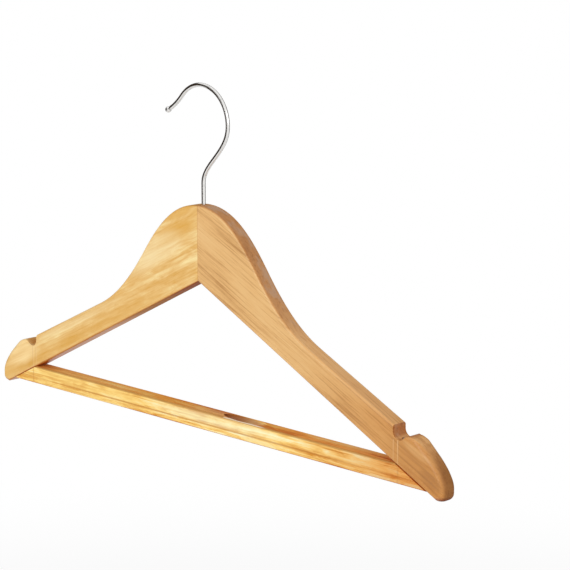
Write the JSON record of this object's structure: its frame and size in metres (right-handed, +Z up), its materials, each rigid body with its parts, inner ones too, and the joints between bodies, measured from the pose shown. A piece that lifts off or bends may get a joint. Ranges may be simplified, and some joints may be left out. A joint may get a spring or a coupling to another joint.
{
  "type": "wooden clothes hanger",
  "caption": "Flat wooden clothes hanger with shaped shoulders, strap notches, a trouser bar and a chromed wire hook that swivels.",
  "frame": {"origin": "inside the top of the hook, straight above its stem, where a rail carries the hanger", "axes": "+X towards the right-hand shoulder seen from the front, +Y towards the back, +Z up along the hook's stem"},
  "size_m": [0.44, 0.012, 0.2402],
  "materials": {
    "arm_wood": "satin clear lacquer over pale honey-coloured hardwood",
    "bar_wood": "satin clear lacquer over golden hardwood",
    "chrome_wire": "bright plating",
    "plain_steel": "bare"
  },
  "bodies": {
    "hook_body": {"hook": "chrome_wire", "hook_washer": "plain_steel"},
    "wooden_frame": {"left_arm": "arm_wood", "right_arm": "arm_wood", "trouser_bar": "bar_wood", "left_bar_nail": "plain_steel", "right_bar_nail": "plain_steel"}
  },
  "joints": [
    {"name": "hook_swivel", "type": "hinge", "parent": "hook_body", "child": "wooden_frame", "pos_m": [0, 0, -0.1166], "axis": [0, 0, 1], "continuous": true}
  ]
}
